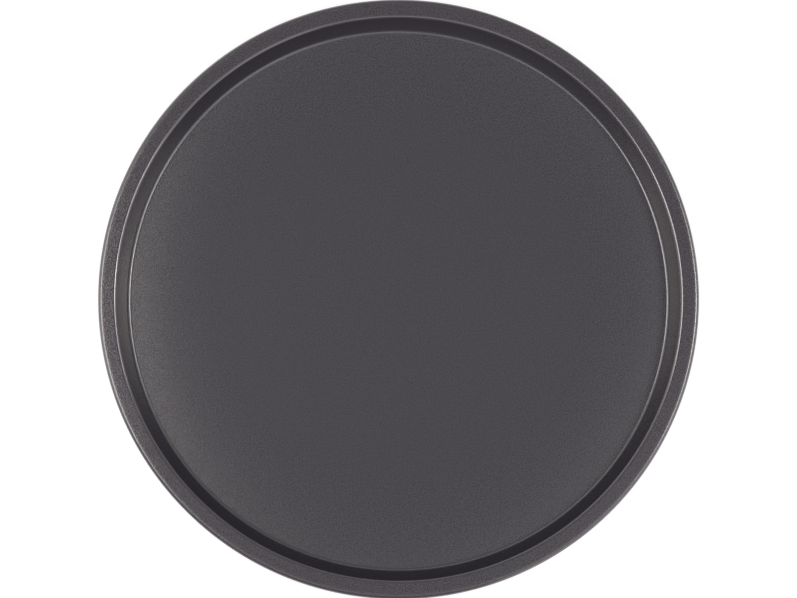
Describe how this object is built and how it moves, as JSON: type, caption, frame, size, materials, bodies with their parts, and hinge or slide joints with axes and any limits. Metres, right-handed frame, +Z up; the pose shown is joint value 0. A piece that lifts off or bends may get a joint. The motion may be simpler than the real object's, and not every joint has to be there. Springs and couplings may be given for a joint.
{
  "type": "pizza pan",
  "caption": "Shallow round pizza pan in dark non-stick steel: flat floor, low steep wall, flat flange and a wired rolled rim.",
  "frame": {"origin": "centre of the flat underside, on the surface that the pan stands on", "axes": "+Z up, out of the open side of the pan, along its axis of symmetry; the pan is round, so X and Y are only told apart by the butt in the hidden wire, which is at +Y"},
  "size_m": [0.32, 0.32, 0.016],
  "materials": {
    "nonstick_steel": "satin",
    "wire_steel": "satin"
  },
  "bodies": {
    "root": {"pan_shell": "nonstick_steel", "rim_wire": "wire_steel"}
  },
  "joints": []
}
